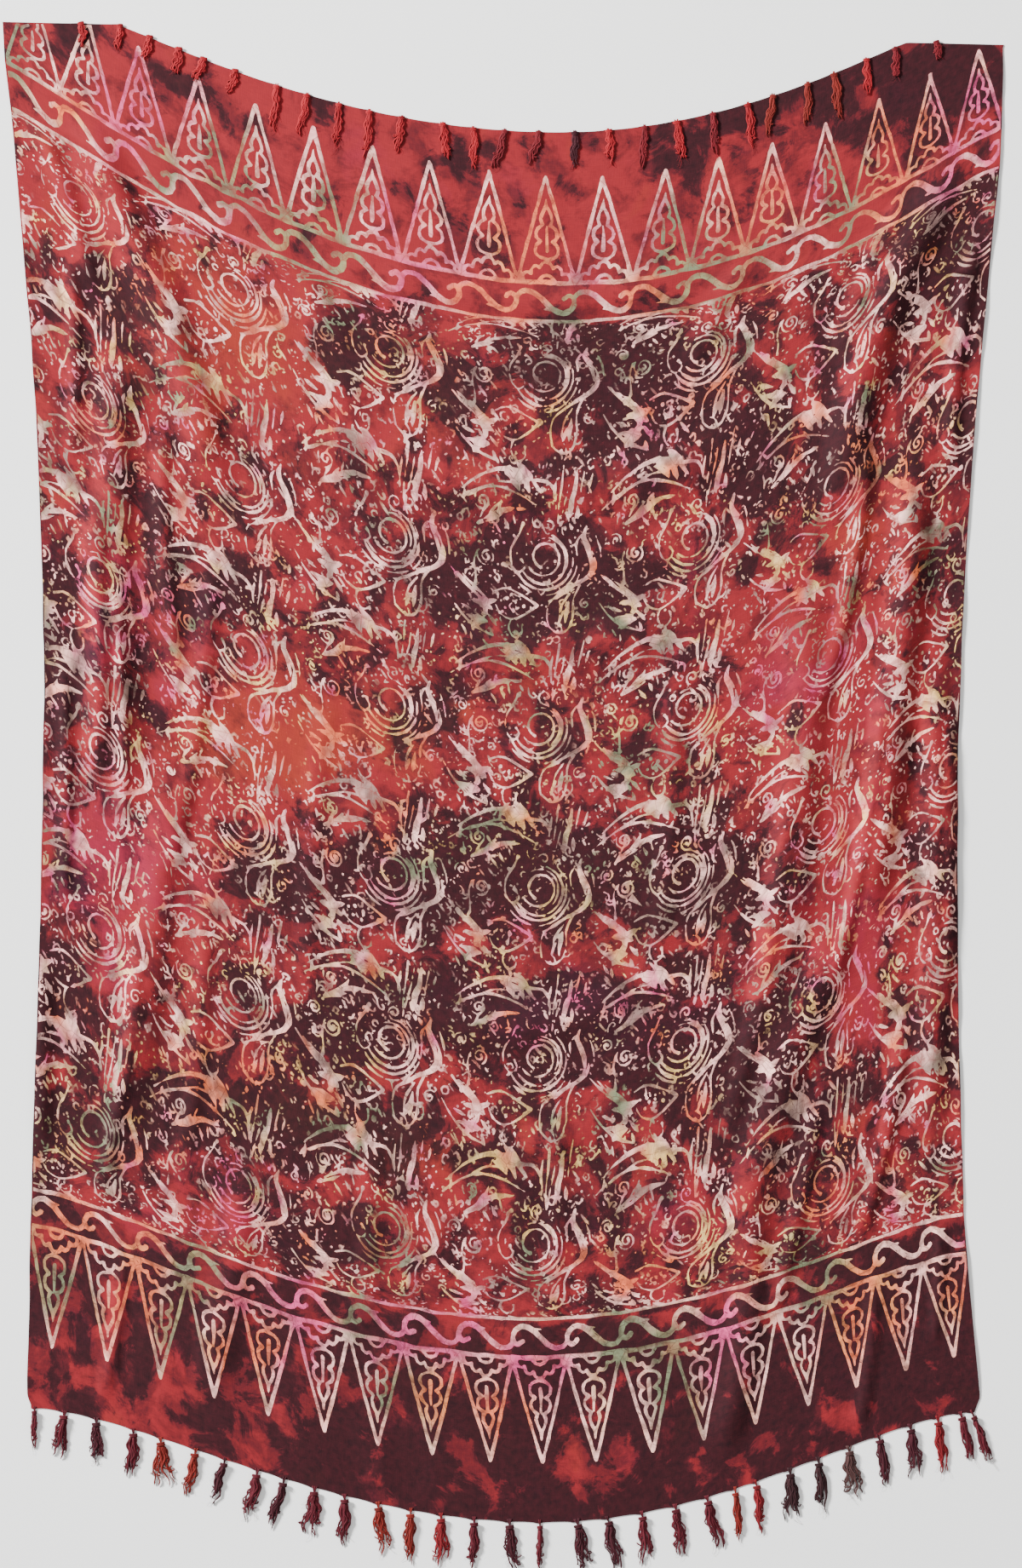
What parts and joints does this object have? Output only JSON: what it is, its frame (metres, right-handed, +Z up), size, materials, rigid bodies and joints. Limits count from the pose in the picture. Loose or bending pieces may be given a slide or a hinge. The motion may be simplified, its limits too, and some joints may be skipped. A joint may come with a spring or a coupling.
{
  "type": "batik sarong",
  "caption": "Rectangular batik cloth spread flat, with tumpal borders, a swirling wax-resist field and a knotted fringe along both short edges.",
  "frame": {"origin": "centre of the footprint, on the surface that the cloth lies on", "axes": "+Y along the length towards the sagging top edge, +X to the right as seen from above, +Z up"},
  "size_m": [1.15, 1.7842, 0.0137],
  "materials": {
    "cloth": "soft woven rayon, mottled red and maroon dye with pale tinted wax-resist lines",
    "fringe_bottom": "knotted rayon yarns, dark maroon to orange-red, frayed at the tips",
    "fringe_top": "knotted rayon yarns, saturated red, frayed at the tips"
  },
  "bodies": {
    "root": {"cloth_panel": "cloth", "tassel_bottom_01": "fringe_bottom", "tassel_bottom_02": "fringe_bottom", "tassel_bottom_03": "fringe_bottom", "tassel_bottom_04": "fringe_bottom", "tassel_bottom_05": "fringe_bottom", "tassel_bottom_06": "fringe_bottom", "tassel_bottom_07": "fringe_bottom", "tassel_bottom_08": "fringe_bottom", "tassel_bottom_09": "fringe_bottom", "tassel_bottom_10": "fringe_bottom", "tassel_bottom_11": "fringe_bottom", "tassel_bottom_12": "fringe_bottom", "tassel_bottom_13": "fringe_bottom", "tassel_bottom_14": "fringe_bottom", "tassel_bottom_15": "fringe_bottom", "tassel_bottom_16": "fringe_bottom", "tassel_bottom_17": "fringe_bottom", "tassel_bottom_18": "fringe_bottom", "tassel_bottom_19": "fringe_bottom", "tassel_bottom_20": "fringe_bottom", "tassel_bottom_21": "fringe_bottom", "tassel_bottom_22": "fringe_bottom", "tassel_bottom_23": "fringe_bottom", "tassel_bottom_24": "fringe_bottom", "tassel_bottom_25": "fringe_bottom", "tassel_bottom_26": "fringe_bottom", "tassel_bottom_27": "fringe_bottom", "tassel_bottom_28": "fringe_bottom", "tassel_bottom_29": "fringe_bottom", "tassel_bottom_30": "fringe_bottom", "tassel_bottom_31": "fringe_bottom", "tassel_bottom_32": "fringe_bottom", "tassel_top_01": "fringe_top", "tassel_top_02": "fringe_top", "tassel_top_03": "fringe_top", "tassel_top_04": "fringe_top", "tassel_top_05": "fringe_top", "tassel_top_06": "fringe_top", "tassel_top_07": "fringe_top", "tassel_top_08": "fringe_top", "tassel_top_09": "fringe_top", "tassel_top_10": "fringe_top", "tassel_top_11": "fringe_top", "tassel_top_12": "fringe_top", "tassel_top_13": "fringe_top", "tassel_top_14": "fringe_top", "tassel_top_15": "fringe_top", "tassel_top_16": "fringe_top", "tassel_top_17": "fringe_top", "tassel_top_18": "fringe_top", "tassel_top_19": "fringe_top", "tassel_top_20": "fringe_top", "tassel_top_21": "fringe_top", "tassel_top_22": "fringe_top", "tassel_top_23": "fringe_top", "tassel_top_24": "fringe_top", "tassel_top_25": "fringe_top", "tassel_top_26": "fringe_top", "tassel_top_27": "fringe_top"}
  },
  "joints": []
}
